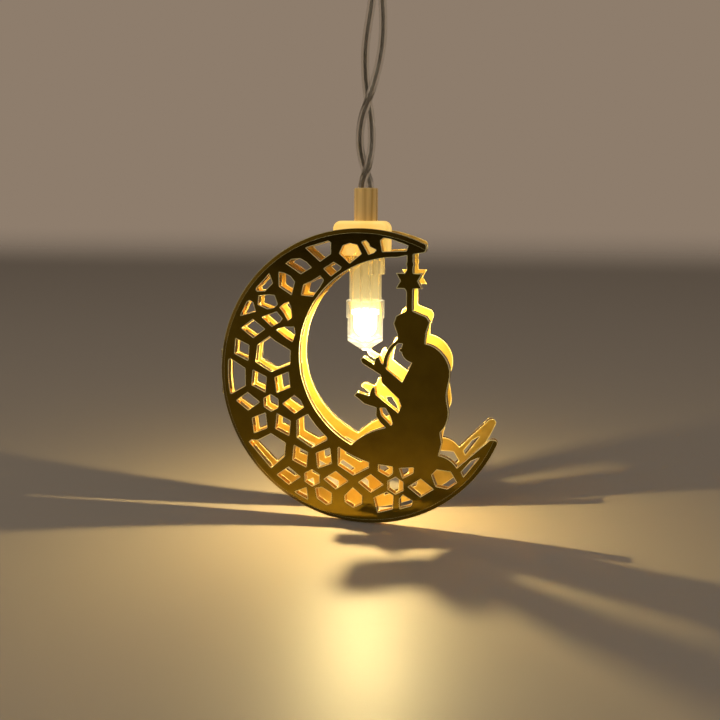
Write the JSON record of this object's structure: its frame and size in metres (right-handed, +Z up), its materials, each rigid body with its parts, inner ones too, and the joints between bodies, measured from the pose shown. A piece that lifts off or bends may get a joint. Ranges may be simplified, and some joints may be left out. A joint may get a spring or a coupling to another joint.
{
  "type": "eid crescent ornament",
  "caption": "Hanging lit ornament: two gilt openwork crescent plates hinged like a locket around a small clear lamp on a twisted pair of clear wires.",
  "frame": {"origin": "centre of the bore in the hanging sleeve, at the top of the cord", "axes": "+Z up along the cord, +X to the viewer's right along the hanging sleeve's bore, -Y out of the front plate"},
  "size_m": [0.0587, 0.0184, 0.1122],
  "materials": {
    "gilt": "mirror gold plated moulding",
    "pin_steel": "drawn wire",
    "ivory": "translucent ivory moulding",
    "milky_clear": "milky clear tubing",
    "clear_lamp": "clear moulded plastic",
    "light": "clear epoxy over a warm light",
    "lead_metal": "tinned wire",
    "shrink": "shrunk tubing",
    "wire_clear": "clear insulation over a dark stranded core"
  },
  "bodies": {
    "pendant": {"front_plate": "gilt", "lamp_socket": "ivory", "neck_sleeve": "milky_clear", "bulb_husk": "clear_lamp", "lens_cap": "clear_lamp", "led_body": "light", "led_cathode": "lead_metal", "led_anode": "lead_metal", "conductor_right": "lead_metal", "conductor_left": "lead_metal", "shrink_tube_right": "shrink", "shrink_tube_left": "shrink", "lead_wire_right": "wire_clear", "lead_wire_left": "wire_clear", "string_sleeve": "milky_clear"},
    "rear_leaf": {"rear_plate": "gilt", "hinge_pin": "pin_steel"}
  },
  "joints": [
    {"name": "rear_leaf_hinge", "type": "hinge", "parent": "pendant", "child": "rear_leaf", "pos_m": [-0.03234, 0, -0.07955], "axis": [0, 0, 1], "range_deg": [0, 70]}
  ]
}
